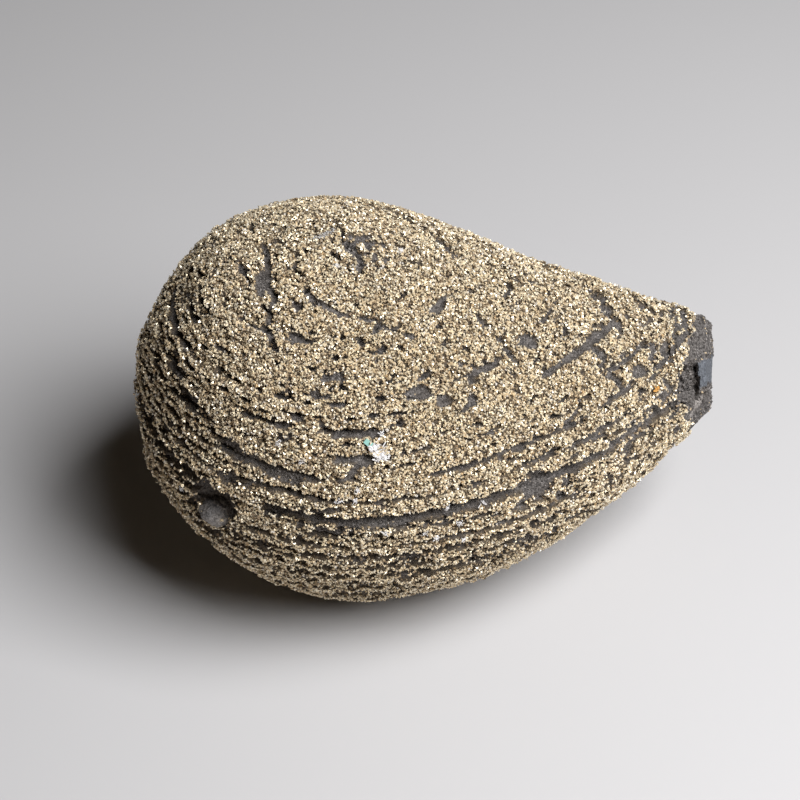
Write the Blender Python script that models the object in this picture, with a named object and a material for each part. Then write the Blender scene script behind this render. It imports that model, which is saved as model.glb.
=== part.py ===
"""A pyrite concretion: one pear-shaped lump of shale under a crust of pyrite, lying on a small flat spot.

Lengths are metres. The lump's long axis runs along X, from the blunt end at -X to the broken neck at +X.
Its bedding is level, so the surface is built as level rings, one above the other, with a groove and a
small ledge at each bed. The origin is under the middle of its box, on the surface that it lies on.
"""

import itertools
import math

import bmesh
import bpy
import numpy as np
from mathutils import Matrix, Vector

# The smooth lump: a round section that swells from the blunt end, tapers and flares a little at the neck.
# Stations along it are measured from the blunt end.
GIRTH_RADIUS = 0.0292
GIRTH_STATION = 0.030
TAPER_LENGTH = 0.0642
TAPER_POWER = 1.68
FLARE = 0.0008
FLARE_START, FLARE_LENGTH = 0.074, 0.012

# Its centre line sags towards the neck, lifts again at the break and bends away from -Y.
CENTRE_HEIGHT = 0.0304
SAG = 0.0040
SAG_START, SAG_LENGTH = 0.010, 0.050
LIFT = 0.0015
LIFT_START, LIFT_LENGTH = 0.062, 0.022
BEND = 0.0080
BEND_START, BEND_LENGTH = 0.051, 0.0330

# The upright axis that the rings go round leans from the flat spot to the summit.
AXIS_STATION_LOW, AXIS_STATION_HIGH = 0.0360, 0.0290
SUMMIT_HEIGHT = 0.0582

# Each bed's height above the flat spot and the depth of its groove.
BEDS = (
    (0.0030, 0.0004),
    (0.0062, 0.0006),
    (0.0096, 0.0005),
    (0.0130, 0.0007),
    (0.0165, 0.0009),
    (0.0197, 0.0006),
    (0.0228, 0.0009),
    (0.0262, 0.0010),
    (0.0289, 0.0006),
    (0.0312, 0.0020),
    (0.0346, 0.0011),
    (0.0375, 0.0010),
    (0.0406, 0.0007),
    (0.0437, 0.0009),
    (0.0469, 0.0006),
    (0.0500, 0.0008),
    (0.0530, 0.0007),
    (0.0556, 0.0008),
)
GROOVE_HALF_WIDTH = 0.0006
MAIN_BED_HEIGHT = 0.0312
MAIN_HALF_WIDTH = 0.0013
LEDGE_SHARE = 0.22
SUMMIT_RINGS = (0.0571, 0.0579)

# Where the surface leans, a groove is as wide along it as on the sides, down to this share upright.
LEAST_SLOPE = 0.14

# The layers between the beds stand out by amounts that change slowly along them and from one to the next.
LAYER_SHIFT = 0.0004
LAYER_SHIFT_SIZE = (0.020, 0.020, 0.9)

# The beds rise towards the blunt end, most at half the lump's height.
RISE = 0.0024
RISE_STATION = 0.040
RISE_LENGTH = 0.026

# Slow swells of the whole surface.
SWELL_SIZE = (0.011, 0.011, 0.008)
SWELL_HEIGHT = 0.0005

# A groove is crusted over in patches. The deepest one is open nearly all the way round.
GROOVE_PATCH = (0.008, 0.008, 0.002)
GROOVE_OPEN = 0.5
GROOVE_DEPTH_OPEN = 0.6
GROOVE_PATCH_OPEN = 0.8

# Swells fade out at the flat spot and on the stub, and grooves fade down to a share of their depth.
FOOT_FADE = 0.004
NECK_FADE = 0.003
GROOVE_LEFT = 0.3

# Near the neck's end the crust stops at a shoulder and a slightly thinner stub of bare shale goes on.
SHOULDER_STATION = 0.0812
SHOULDER_LENGTH = 0.0006
SHOULDER_STEP = 0.0007

# The stub's break: flat facets, each given by a point and the direction it faces.
BREAK_FACETS = (
    ((0.0850, 0.0085, 0.0300), (0.975, -0.14, 0.17)),
    ((0.0844, 0.0085, 0.0345), (0.88, 0.10, 0.46)),
    ((0.0852, 0.0060, 0.0225), (0.985, -0.10, -0.14)),
)

# A pit low on the -Y side holds a bare, rounded nodule of shale.
PIT_CENTRE = (0.0121, -0.0249, 0.0306)
PIT_RADII = (0.0040, 0.0044, 0.0034)
NODULE_CENTRE = (0.0130, -0.0218, 0.0273)
NODULE_RADII = (0.0024, 0.0025, 0.0021)

# A ray from the axis has left the lump by this distance, and halving it this often finds where. A facet
# is met only by rays that head for it at least this much.
RAY_LENGTH = 0.09
HALVINGS = 40
LEAST_APPROACH = 0.05

# Columns of points round each ring, drawn together where the neck is.
COLUMNS = 84
NECK_ANGLE = math.radians(8.6)
NECK_CROWDING = 0.78

SEED = 21
CRUST_COLOUR = (0.42, 0.33, 0.17, 1.0)
CRUST_ROUGHNESS = 0.35
CRUST_METALLIC = 0.8


def clear_scene():
    for thing in list(bpy.data.objects):
        bpy.data.objects.remove(thing, do_unlink=True)


def crust_material():
    material = bpy.data.materials.new("pyrite_crust")
    material.use_nodes = True
    shader = material.node_tree.nodes["Principled BSDF"]
    shader.inputs["Base Color"].default_value = CRUST_COLOUR
    shader.inputs["Roughness"].default_value = CRUST_ROUGHNESS
    shader.inputs["Metallic"].default_value = CRUST_METALLIC
    return material


def ease(x):
    """0 below 0, 1 above 1, and a smooth S between."""
    x = np.clip(x, 0.0, 1.0)
    return x * x * (3 - 2 * x)


def lattice_noise(points, size, seed):
    """Smooth noise between -1 and 1: random values on a lattice of this spacing, eased between its corners."""
    side = 32
    values = np.random.default_rng(seed).uniform(-1, 1, (side, side, side))
    place = points / np.asarray(size)
    cell = np.floor(place).astype(int)
    part = ease(place - cell)
    total = np.zeros(points.shape[:-1])
    for corner in itertools.product((0, 1), repeat=3):
        at = (cell + corner) % side
        weight = np.prod(np.where(corner, part, 1 - part), axis=-1)
        total += weight * values[at[..., 0], at[..., 1], at[..., 2]]
    return total


def radius_at(station):
    """A quarter ellipse up to the girth, a taper by a power of the distance, the flare and the step."""
    before = np.clip(1 - station / GIRTH_STATION, 0, 1)
    after = np.clip((station - GIRTH_STATION) / TAPER_LENGTH, 0, 1)
    flare = FLARE * ease((station - FLARE_START) / FLARE_LENGTH)
    step = SHOULDER_STEP * ease((station - SHOULDER_STATION) / SHOULDER_LENGTH)
    return GIRTH_RADIUS * np.sqrt(1 - before**2) * (1 - after**TAPER_POWER) + flare - step


def centre_height(station):
    sag = SAG * ease((station - SAG_START) / SAG_LENGTH)
    return CENTRE_HEIGHT - sag + LIFT * ease((station - LIFT_START) / LIFT_LENGTH)


def centre_side(station):
    return BEND * np.clip((station - BEND_START) / BEND_LENGTH, 0, None) ** 2


def bed_rise(station, level):
    """How far a bed at this level lies above it: none at the flat spot, the summit and the neck."""
    share = np.sin(np.pi * level / SUMMIT_HEIGHT)
    return RISE * share * ease((RISE_STATION - station) / RISE_LENGTH)


def column_angles(count):
    """Angles round the axis from +X, closer together towards the neck."""
    turn = 2 * np.pi * (np.arange(count) / count)
    return NECK_ANGLE + turn - NECK_CROWDING * np.sin(turn)


def smooth_outline(angles, base, level):
    """The lump's plan at the heights in base, set at the heights in level, as points (rings, columns, 3).

    A ray from the axis leaves the lump where its distance from the centre line is the radius, at a height
    that follows the beds' rise. That place is found by halving, and a facet of the break that the ray
    meets first stops it there.
    """
    base = base[:, None]
    level = np.broadcast_to(level[:, None], (len(level), len(angles)))
    lean = (AXIS_STATION_HIGH - AXIS_STATION_LOW) / SUMMIT_HEIGHT
    start = AXIS_STATION_LOW + lean * base
    along, across = np.cos(angles), np.sin(angles)
    near = np.zeros(level.shape)
    far = np.full(level.shape, RAY_LENGTH)
    for _ in range(HALVINGS):
        middle = (near + far) / 2
        station = start + middle * along
        height = base + bed_rise(station, level)
        off_side = middle * across - centre_side(station)
        inside = off_side**2 + (height - centre_height(station)) ** 2 < radius_at(station) ** 2
        near = np.where(inside, middle, near)
        far = np.where(inside, far, middle)
    for point, facing in BREAK_FACETS:
        run = facing[0] * along + facing[1] * across
        gap = facing[0] * (point[0] - start) + facing[1] * point[1] + facing[2] * (point[2] - level)
        near = np.where(run > LEAST_APPROACH, np.minimum(near, gap / np.maximum(run, LEAST_APPROACH)), near)
    station = start + near * along
    return np.stack([station, near * across, level + bed_rise(station, level)], axis=-1)


def plan_normals(rings):
    """Each point's outward direction in plan, square to the line between its two neighbours."""
    along = np.roll(rings, -1, axis=1) - np.roll(rings, 1, axis=1)
    out = np.stack([along[..., 1], -along[..., 0], np.zeros(along.shape[:-1])], axis=-1)
    return out / np.linalg.norm(out, axis=-1, keepdims=True)


def ring_rows():
    """For each ring its height, the height whose outline it takes, its groove depth and its bed's number.

    A bed has a ring at its groove and one at each lip. A lip's outline is drawn towards that of the
    middle of its layer, which makes the ledges.
    """
    heights = [height for height, depth in BEDS]
    centre = SUMMIT_HEIGHT - GIRTH_RADIUS
    middles = [(low + high) / 2 for low, high in zip([0.0] + heights, heights + [SUMMIT_HEIGHT])]
    rows = [(0.0, 0.0, 0.0, 0)]
    for number, (height, depth) in enumerate(BEDS):
        slope = math.sqrt(max(1 - ((height - centre) / GIRTH_RADIUS) ** 2, LEAST_SLOPE**2))
        half = slope * (MAIN_HALF_WIDTH if height == MAIN_BED_HEIGHT else GROOVE_HALF_WIDTH)
        for level, middle, layer in (
            (height - half, middles[number], number),
            (height + half, middles[number + 1], number + 1),
        ):
            rows.append((level, level + LEDGE_SHARE * (middle - level), 0.0, layer))
        rows.insert(-1, (height, height, depth, number))
    rows += [(height, height, 0.0, len(BEDS)) for height in SUMMIT_RINGS]
    return np.array(rows)


def lump_rings():
    """The rings' points: the smooth outline, moved out by slow swells and a shift that differs from layer
    to layer, and in by the groove's depth, which comes and goes along each bed. All of it fades out at
    the flat spot and on the stub."""
    rows = ring_rows()
    level, base, depth, layer = rows.T
    rings = smooth_outline(column_angles(COLUMNS), base, level)
    rise = SWELL_HEIGHT * lattice_noise(rings, SWELL_SIZE, SEED)
    apart = rings + layer[:, None, None] * np.array([0.0, 0.0, 1.0])
    shift = LAYER_SHIFT * lattice_noise(apart, LAYER_SHIFT_SIZE, SEED + 1)
    patch = GROOVE_PATCH_OPEN * lattice_noise(rings, GROOVE_PATCH, SEED + 2)
    open_share = ease(GROOVE_OPEN + GROOVE_DEPTH_OPEN * depth[:, None] / max(depth) + patch)
    crusted = ease(rings[..., 2] / FOOT_FADE) * ease((SHOULDER_STATION - rings[..., 0]) / NECK_FADE)
    groove = depth[:, None] * open_share * (GROOVE_LEFT + (1 - GROOVE_LEFT) * crusted)
    moved = (rise + shift) * crusted - groove
    return rings + plan_normals(rings) * moved[..., None]


def skin_mesh(rings):
    """A closed mesh of quads between the rings, with a flat face below and one on the summit."""
    mesh = bmesh.new()
    loops = [[mesh.verts.new(point) for point in ring] for ring in rings.tolist()]
    for lower, upper in zip(loops, loops[1:]):
        for column in range(COLUMNS):
            after = (column + 1) % COLUMNS
            mesh.faces.new((lower[column], lower[after], upper[after], upper[column]))
    mesh.faces.new(loops[0][::-1])
    mesh.faces.new(loops[-1])
    bmesh.ops.recalc_face_normals(mesh, faces=mesh.faces)
    return mesh


def ellipsoid(name, centre, radii):
    """A helper for a Boolean, left out of renders."""
    mesh = bmesh.new()
    place = Matrix.Translation(Vector(centre)) @ Matrix.Diagonal(Vector((*radii, 1.0)))
    bmesh.ops.create_icosphere(mesh, subdivisions=2, radius=1.0, matrix=place)
    return as_object(mesh, name)


def as_object(mesh, name):
    data = bpy.data.meshes.new(name)
    mesh.to_mesh(data)
    mesh.free()
    thing = bpy.data.objects.new(name, data)
    bpy.context.scene.collection.objects.link(thing)
    return thing


def combine(thing, helper, operation):
    helper.hide_render = True
    helper.display_type = "WIRE"
    change = thing.modifiers.new(helper.name, "BOOLEAN")
    change.operation = operation
    change.object = helper


def make_concretion():
    rings = lump_rings()
    flat = rings[..., :2]
    centre = (flat.min(axis=(0, 1)) + flat.max(axis=(0, 1))) / 2
    shift = Vector((-centre[0], -centre[1], 0.0))
    skin = skin_mesh(rings)
    bmesh.ops.translate(skin, verts=skin.verts, vec=shift)
    lump = as_object(skin, "concretion")
    combine(lump, ellipsoid("pit", Vector(PIT_CENTRE) + shift, PIT_RADII), "DIFFERENCE")
    combine(lump, ellipsoid("nodule", Vector(NODULE_CENTRE) + shift, NODULE_RADII), "UNION")
    lump.data.materials.append(crust_material())


clear_scene()
make_concretion()
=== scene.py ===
"""The looks of a pyrite concretion: a shale lump, its crust of pyrite crystals, caught lint and the stage.

Lengths are metres. Stations run along the lump from its blunt end, as in the part's source. Points stay
in that frame while the shape is worked out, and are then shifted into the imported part's.
"""
import itertools
import math

import bpy
import numpy as np
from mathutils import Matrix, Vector


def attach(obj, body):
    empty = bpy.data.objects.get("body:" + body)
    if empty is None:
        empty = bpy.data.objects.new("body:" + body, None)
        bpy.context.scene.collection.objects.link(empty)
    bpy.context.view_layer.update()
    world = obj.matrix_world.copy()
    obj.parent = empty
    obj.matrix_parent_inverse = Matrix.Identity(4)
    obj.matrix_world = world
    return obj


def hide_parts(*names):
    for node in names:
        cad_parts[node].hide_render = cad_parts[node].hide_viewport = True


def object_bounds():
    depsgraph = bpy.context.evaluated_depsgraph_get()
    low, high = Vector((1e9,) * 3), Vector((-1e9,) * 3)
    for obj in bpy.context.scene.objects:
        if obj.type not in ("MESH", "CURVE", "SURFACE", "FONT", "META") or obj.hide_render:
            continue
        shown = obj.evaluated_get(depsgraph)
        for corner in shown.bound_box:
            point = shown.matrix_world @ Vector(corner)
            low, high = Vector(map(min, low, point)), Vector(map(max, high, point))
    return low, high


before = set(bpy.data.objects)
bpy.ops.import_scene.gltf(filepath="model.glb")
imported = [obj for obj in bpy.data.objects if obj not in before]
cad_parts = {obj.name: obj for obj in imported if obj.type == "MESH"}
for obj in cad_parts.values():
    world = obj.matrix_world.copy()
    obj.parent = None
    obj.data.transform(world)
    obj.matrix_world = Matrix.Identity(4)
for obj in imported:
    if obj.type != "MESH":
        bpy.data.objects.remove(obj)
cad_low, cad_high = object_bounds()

bl_info = {
    "name": "Pyrite concretion",
    "version": (1, 0, 0),
    "blender": (4, 5, 0),
    "location": "3D View > Sidebar > Concretion",
    "description": "Builds the shale lump, its pyrite crust, the lint on it and the stage",
    "category": "Add Mesh",
}

# The smooth lump, with the values of the part's source.
GIRTH_RADIUS = 0.0292
GIRTH_STATION = 0.030
TAPER_LENGTH = 0.0642
TAPER_POWER = 1.68
FLARE = 0.0008
FLARE_START, FLARE_LENGTH = 0.074, 0.012
CENTRE_HEIGHT = 0.0304
SAG = 0.0040
SAG_START, SAG_LENGTH = 0.010, 0.050
LIFT = 0.0015
LIFT_START, LIFT_LENGTH = 0.062, 0.022
BEND = 0.0080
BEND_START, BEND_LENGTH = 0.051, 0.0330
AXIS_STATION_LOW, AXIS_STATION_HIGH = 0.0360, 0.0290
SUMMIT_HEIGHT = 0.0582
CAP_HEIGHT = 0.0579
BEDS = (
    (0.0030, 0.0004),
    (0.0062, 0.0006),
    (0.0096, 0.0005),
    (0.0130, 0.0007),
    (0.0165, 0.0009),
    (0.0197, 0.0006),
    (0.0228, 0.0009),
    (0.0262, 0.0010),
    (0.0289, 0.0006),
    (0.0312, 0.0020),
    (0.0346, 0.0011),
    (0.0375, 0.0010),
    (0.0406, 0.0007),
    (0.0437, 0.0009),
    (0.0469, 0.0006),
    (0.0500, 0.0008),
    (0.0530, 0.0007),
    (0.0556, 0.0008),
)
BED_HEIGHTS = [height for height, depth in BEDS]
GROOVE_HALF_WIDTH = 0.0006
MAIN_BED_HEIGHT = 0.0312
MAIN_HALF_WIDTH = 0.0013
LEDGE_SHARE = 0.22
LAYER_SHIFT = 0.0004
LAYER_SHIFT_SIZE = (0.020, 0.020, 0.9)
SWELL_SIZE = (0.011, 0.011, 0.008)
SWELL_HEIGHT = 0.0005
GROOVE_PATCH = (0.006, 0.006, 0.002)
FOOT_FADE = 0.004
NECK_FADE = 0.003
SHOULDER_STATION = 0.0812
SHOULDER_LENGTH = 0.0006
SHOULDER_STEP = 0.0007
BREAK_FACETS = (
    ((0.0850, 0.0085, 0.0300), (0.975, -0.14, 0.17)),
    ((0.0844, 0.0085, 0.0345), (0.88, 0.10, 0.46)),
    ((0.0852, 0.0060, 0.0225), (0.985, -0.10, -0.14)),
)
PIT_CENTRE = (0.0121, -0.0249, 0.0306)
PIT_RADII = (0.0040, 0.0044, 0.0034)
NODULE_CENTRE = (0.0130, -0.0218, 0.0273)
NODULE_RADII = (0.0024, 0.0025, 0.0021)
NODULE_ROWS, NODULE_COLUMNS = 60, 100
NODULE_ROUGHNESS = ((0.0013, 0.00022), (0.0006, 0.00016), (0.0003, 0.00010))
NECK_ANGLE = math.radians(8.6)

# Each pattern's noise takes this seed plus a number of its own.
SEED = 21

# The finer noise that turned_noise adds: its size and height against the first's, and its seed.
FINE_SIZE, FINE_HEIGHT, FINE_SEED = 0.55, 0.5, 500

# The beds rise towards the blunt end, most at half the lump's height.
RISE = 0.0024
RISE_STATION = 0.040
RISE_LENGTH = 0.026

# A ray from the axis has left the lump by this distance, and halving it this often finds where. The flat
# end is met only by rays that head for it at least this much.
RAY_LENGTH = 0.09
HALVINGS = 34
LEAST_APPROACH = 0.05

# The grid that the lump's surface is worked out on.
FOOT_ROWS = 6
LEVEL_ROWS = 310
CAP_ROWS = 12
COLUMNS = 272
NECK_CROWDING = 2.6
NECK_CROWDING_WIDTH = 0.30
NECK_CROWDING_STEPS = 4001

# The crust's pattern: bare patches drawn out along the beds, small round holes, and slits along fine
# laminae where the side is steep.
STREAK_SIZE = (0.0030, 0.0030, 0.0010)
CLUMP_SIZE = (0.0014, 0.0014, 0.0011)
CLUMP_WEIGHT = 0.75
SLOW_SIZE = (0.014, 0.014, 0.006)
SLOW_WEIGHT = 0.30
NECK_BARE_STATION, NECK_BARE_LENGTH = 0.045, 0.030
NECK_BAND_WEIGHT = 0.55
NECK_BAND_TOP, NECK_BAND_FADE = 0.043, 0.007
NECK_HOLE_WEIGHT = 0.12
STREAK_FLAT, STREAK_STEEP = 0.4, 0.6
HOLE_SIZE = (0.00095, 0.00095, 0.00095)
SLIT_SIZE = (0.0026, 0.0026, 0.0009)
LAMINA_SPACING = 0.0016
LAMINA_WOBBLE = 0.0005
LAMINA_WOBBLE_SIZE = (0.012, 0.012, 0.009)
LAMINA_PATCH = (0.0070, 0.0070, 0.0016)
LAMINA_WEIGHT = 0.85
LAMINA_LOW, LAMINA_LOW_SHARE = 0.026, 0.60
LAMINA_OPEN = 0.44
LAMINA_HELD, LAMINA_HELD_GAPING = 0.5, 0.5
LAMINA_NECK_LOSS = 0.6
GAPE_LEVEL, GAPE_LEVEL_FADE = 0.030, 0.008
GAPE_STATION, GAPE_STATION_FADE = 0.018, 0.012
SIDE_HOLE_WEIGHT, SLIT_WEIGHT = 0.40, 0.45
LEAST_SLOPE = 0.14
GROOVE_OPEN = 0.10
GROOVE_DEPTH_OPEN = 0.95
GROOVE_PATCH_OPEN = 0.90
GROOVE_TOP_SHUT = 0.30
GROOVE_TOP_LEVEL, GROOVE_TOP_LENGTH = 0.040, 0.010
GROOVE_NECK_OPEN = 0.20
GROOVE_RAGGED = 0.00022
GROOVE_RAGGED_SIZE = (0.0016, 0.0016, 0.0010)
GROOVE_ISLANDS = 0.55
GROOVE_ISLAND_SIZE = (0.0012, 0.0012, 0.0009)
EDGE_SOFTNESS = 0.12

# How strongly grooves and marks cut into the crust, and how soon it has gone in the pit.
GROOVE_CLEAR, GROOVE_CUT = 0.9, 1.7
MARK_CUT = 2.0
PIT_EDGE = 0.0006

# The crust's round lumps: how flat they lie, the finer ones among them, and the share of their height that
# lies at the crust's top.
LUMP_FLATNESS = 0.9
FINE_LUMP_SIZE, FINE_LUMP_HEIGHT = 0.5, 0.5
LUMP_GAIN = 1.4
LUMP_MIDDLE = 0.6

# The bare shale's roughness, how deep grooves and holes are sunk in it, and where it meets the flat spot.
SHALE_ROUGH, SHALE_ROUGH_SIZE = 0.00012, (0.0022, 0.0022, 0.0012)
SHALE_FINE_ROUGH, SHALE_FINE_ROUGH_SIZE = 0.00007, (0.0006, 0.0006, 0.0006)
GROOVE_SUNK = 0.6
HOLE_BRINK, HOLE_FADE = 0.5, 0.3
FLAT_FADE = 0.0010

# The body's own crust lies a little lower and ends a little sooner than the one the crystals stand on.
GROUND_SHRUNK = 0.04
GROUND_LOWERED = 0.00016

# Crystals stand where the crust's share is over this, and grains of shale where it isn't.
LEAST_SHARE = 0.35

# Below this share they stand on the crust's wall, with so many more spots tried at other heights on it.
WALL_SHARE = 0.97
WALL_COPIES = 1

# A turn that sets the crust's lumps askew to the axes.
TILT = np.array([[0.80, 0.36, -0.48], [-0.48, 0.86, -0.16], [0.36, 0.36, 0.86]])

# Bare places seen in the photo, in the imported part's frame: middle, radii and how bare.
BARE_PATCHES = (
    ((-0.0089, 0.0000, 0.0573), (0.0042, 0.0036, 0.0020), 0.30),
    ((-0.0234, -0.0073, 0.0565), (0.0008, 0.0020, 0.0020), 0.9),
    ((-0.0361, -0.0119, 0.0456), (0.0013, 0.0016, 0.0012), 0.8),
    ((0.0136, -0.0081, 0.0469), (0.0013, 0.0011, 0.0012), 0.9),
    ((-0.0022, -0.0192, 0.0469), (0.0024, 0.0010, 0.0009), 0.8),
    ((0.0016, -0.0192, 0.0456), (0.0010, 0.0009, 0.0008), 0.9),
    ((0.0271, 0.0003, 0.0425), (0.0009, 0.0011, 0.0010), 0.9),
    ((0.0238, -0.0058, 0.0426), (0.0013, 0.0009, 0.0009), 0.9),
    ((0.0298, -0.0045, 0.0382), (0.0020, 0.0010, 0.0008), 0.9),
    ((-0.0281, -0.0248, 0.0359), (0.0015, 0.0014, 0.0008), 0.9),
)

# Bare grooves seen in the photo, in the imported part's frame: half width, how bare and the points they
# pass.
BARE_STROKES = (
    (0.00045, 1.0, ((-0.0173, -0.0093, 0.0568), (-0.0160, -0.0108, 0.0561), (-0.0128, -0.0121, 0.0552),
                    (-0.0078, -0.0121, 0.0540), (-0.0059, -0.0129, 0.0529), (-0.0027, -0.0132, 0.0520))),
    (0.00040, 1.0, ((-0.0232, -0.0005, 0.0575), (-0.0226, -0.0047, 0.0573), (-0.0224, -0.0083, 0.0565),
                    (-0.0215, -0.0100, 0.0561), (-0.0226, -0.0139, 0.0540), (-0.0205, -0.0179, 0.0524))),
    (0.00050, 1.0, ((0.0063, -0.0072, 0.0506), (0.0118, -0.0121, 0.0462))),
    (0.00030, 1.0, ((-0.0322, -0.0033, 0.0528), (-0.0316, -0.0091, 0.0522))),
    (0.00110, 0.32, ((-0.0354, -0.0134, 0.0450), (-0.0331, -0.0175, 0.0431), (-0.0310, -0.0200, 0.0421),
                     (-0.0288, -0.0221, 0.0409), (-0.0267, -0.0235, 0.0399), (-0.0230, -0.0255, 0.0391),
                     (-0.0190, -0.0273, 0.0381))),
)

# How far patches and strokes reach, in their own radii and half widths, and how softly they end.
MARK_RAGGED, MARK_RAGGED_SIZE = 0.30, (0.0012, 0.0012, 0.0012)
PATCH_REACH, PATCH_EDGE = 1.35, 0.5
STROKE_REACH, STROKE_EDGE = 1.4, 0.6

# The crust stops at a ragged edge before the break, furthest back on the side towards -Y and up.
CRUST_END = 0.0820
CRUST_END_RAGGED = 0.0007
CRUST_END_RAGGED_SIZE = (0.0020, 0.0020, 0.0020)
CRUST_END_SET_BACK = 0.0031
CRUST_END_SET_BACK_ANGLE = math.radians(148)
CRUST_END_SET_BACK_WIDTH = math.radians(34)
CRUST_END_WHOLE = 0.22
CRUST_END_WHOLE_LENGTH = 0.005
CRUST_END_EDGE = 0.0003

# The body ends just inside the stub, which is a finer piece of its own and starts under the crust.
BODY_END = 0.0828
BODY_END_DRAWN = 0.6
BODY_UNDER_STUB = 0.0026
STUB_START = 0.0780
STUB_COLUMNS = 220
STUB_SIDE_ROWS = 44
STUB_FACE_ROWS = 26
STUB_START_DRAWN, STUB_START_LENGTH = 0.0010, 0.0012
STUB_RIM_ROUNDS = 12
STUB_FACE_EDGE = 0.08

# The stub's roughness: each noise's size, share and seed.
STUB_ROUGH = 0.00032
STUB_NOISES = ((0.0012, 1.0, 31), (0.0005, 0.7, 32), (0.00025, 0.4, 33))

# On the side that faces -Y and up, a recess is sunk into the stub before a smooth plate, above a trench
# and a chunk with a pale ridge. Distances down are from the centre line, along this direction.
BREAK_DOWN = (0.0, -0.669, -0.743)
BREAK_OUT = (0.0, -0.743, 0.669)
RECESS_TOP, RECESS_BOTTOM = -0.0013, 0.0038
RECESS_END = 0.0825
RECESS_DEPTH = 0.0020
TRENCH_DOWN, TRENCH_HALF_WIDTH, TRENCH_DEPTH = 0.0043, 0.00035, 0.0011
PLATE_BOTTOM = 0.0030
PLATE_SMOOTH = 0.8
BREAK_JOG, BREAK_JOG_SIZE = 0.00048, (0.0012, 0.0012, 0.0012)
BREAK_SIDE_FADE = 0.003
RECESS_TOP_FADE, RECESS_BOTTOM_FADE, RECESS_END_FADE = 0.0003, 0.0004, 0.0002
TRENCH_FADE = 0.0002
PLATE_FADE = 0.0003

# The pale ridge runs aslant over the chunk.
RIDGE_STATION, RIDGE_DOWN, RIDGE_SLANT = 0.0830, 0.0044, 0.70
RIDGE_HALF_WIDTH, RIDGE_EDGE = 0.0005, 0.0003
RIDGE_TOP, RIDGE_BOTTOM, RIDGE_FADE = 0.0040, 0.0070, 0.0004
RIDGE_JOG, RIDGE_JOG_SIZE = 0.0004, (0.0010, 0.0010, 0.0010)

# The nodule's dust.
DUST_SIZE = (0.0008, 0.0008, 0.0008)
DUST_LEAST = 0.3
NODULE_BLUE = 0.5

# The rock's patterns: features to a metre, and what each adds to the bump.
MOTTLE_SCALE, CLOUD_SCALE, CELL_SCALE, GRAIN_SCALE = 2600.0, 260.0, 3000.0, 5200.0
CELL_HEIGHT, MOTTLE_HEIGHT, GRAIN_HEIGHT = 0.8, 0.6, 0.5
BUMP_DISTANCE = 0.0005

# Spots tried for the crystals, the grains and the lint, and the share of the break's spots that stay.
CRYSTAL_SPOTS = 620000
GRIT_SPOTS = 260000
BREAK_SPOTS = 30000
BREAK_SHARE = 0.4
LINT_SPOTS = 60000

# How far crystals lean on walls and elsewhere, and grains and flakes anywhere.
WALL_LEAN, CRYSTAL_LEAN, GRAIN_LEAN, FLAKE_LEAN = 0.9, 0.5, 0.6, 0.8

# Crystals below these shares of a lump or of the crust, in the creases and low on the walls, take a darker,
# duller finish, which is painted shade. Large ones are rare.
SUNK_LUMP, SUNK_HEIGHT = 0.28, 0.6
REACH_POWER = 1.5
STRETCH = (0.8, 1.2)

# Least height over the floor, in a crystal's or a grain's own size.
CRYSTAL_CLEARANCE = 1.3
GRAIN_CLEARANCE = 2

# Grains' sizes in shares of the usual one, and the share of them that are the corners of cubes.
GRAIN_REACH = (0.5, 1.2)
GRAIN_CORNERS = 0.9

# Shares of the crystals' finishes and of the grains'.
CRYSTAL_SHARES = (0.36, 0.30, 0.20, 0.095, 0.015, 0.030)
GRIT_SHARES = (0.44, 0.31, 0.215, 0.035)

# What stands out of the ground of a crystal: the corner of a cube, or half an octahedron, each closed
# below. One unit is about half its width, and it points along Z.
CORNER_POINTS = ((0, 0, 0.62), (1.27, 0, -0.28), (-0.635, 1.10, -0.28), (-0.635, -1.10, -0.28))
CORNER_FACES = ((0, 1, 2), (0, 2, 3), (0, 3, 1), (1, 3, 2))
PYRAMID_POINTS = ((0, 0, 0.85), (1.1, 0, -0.35), (0, 1.1, -0.35), (-1.1, 0, -0.35), (0, -1.1, -0.35))
PYRAMID_FACES = ((0, 1, 2), (0, 2, 3), (0, 3, 4), (0, 4, 1), (2, 1, 4), (2, 4, 3))

# The crystals' pieces, as the stretches of X that they cover.
PARTS = (
    ("crystals_blunt_end", -1.0, -0.0270),
    ("crystals_left", -0.0270, -0.0135),
    ("crystals_middle", -0.0135, 0.0),
    ("crystals_right", 0.0, 0.0140),
    ("crystals_neck", 0.0140, 1.0),
)

# Where lint is caught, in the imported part's frame. The chip has a teal end and a white end.
CHIP_TEAL_END = (-0.0092, -0.0250, 0.0432)
CHIP_WHITE_END = (-0.0069, -0.0256, 0.0412)
SPECKS = (
    (-0.0041, 0.0008, 0.0557), (-0.0131, -0.0049, 0.0576), (-0.0071, -0.0238, 0.0435),
    (-0.0210, -0.0250, 0.0425), (-0.0181, -0.0263, 0.0406), (-0.0129, -0.0286, 0.0356),
    (-0.0107, -0.0285, 0.0356), (-0.0101, -0.0277, 0.0371), (-0.0015, -0.0275, 0.0281),
    (0.0005, -0.0271, 0.0269), (-0.0062, -0.0287, 0.0297), (0.0043, -0.0259, 0.0255),
    (0.0037, -0.0258, 0.0288), (0.0017, -0.0252, 0.0311), (0.0069, -0.0235, 0.0308),
    (-0.0351, -0.0204, 0.0297),
)
STREAK_ENDS = ((-0.0164, 0.0001, 0.0579), (-0.0136, 0.0024, 0.0579))
ORANGE_GRAIN = (0.0319, -0.0051, 0.0348)
BOX_POINTS = np.array(tuple(itertools.product((-1, 1), repeat=3)), float)
BOX_FACES = np.array((
    (0, 1, 3), (0, 3, 2), (4, 6, 7), (4, 7, 5), (0, 4, 5), (0, 5, 1),
    (2, 3, 7), (2, 7, 6), (0, 2, 6), (0, 6, 4), (1, 5, 7), (1, 7, 3),
))

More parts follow.
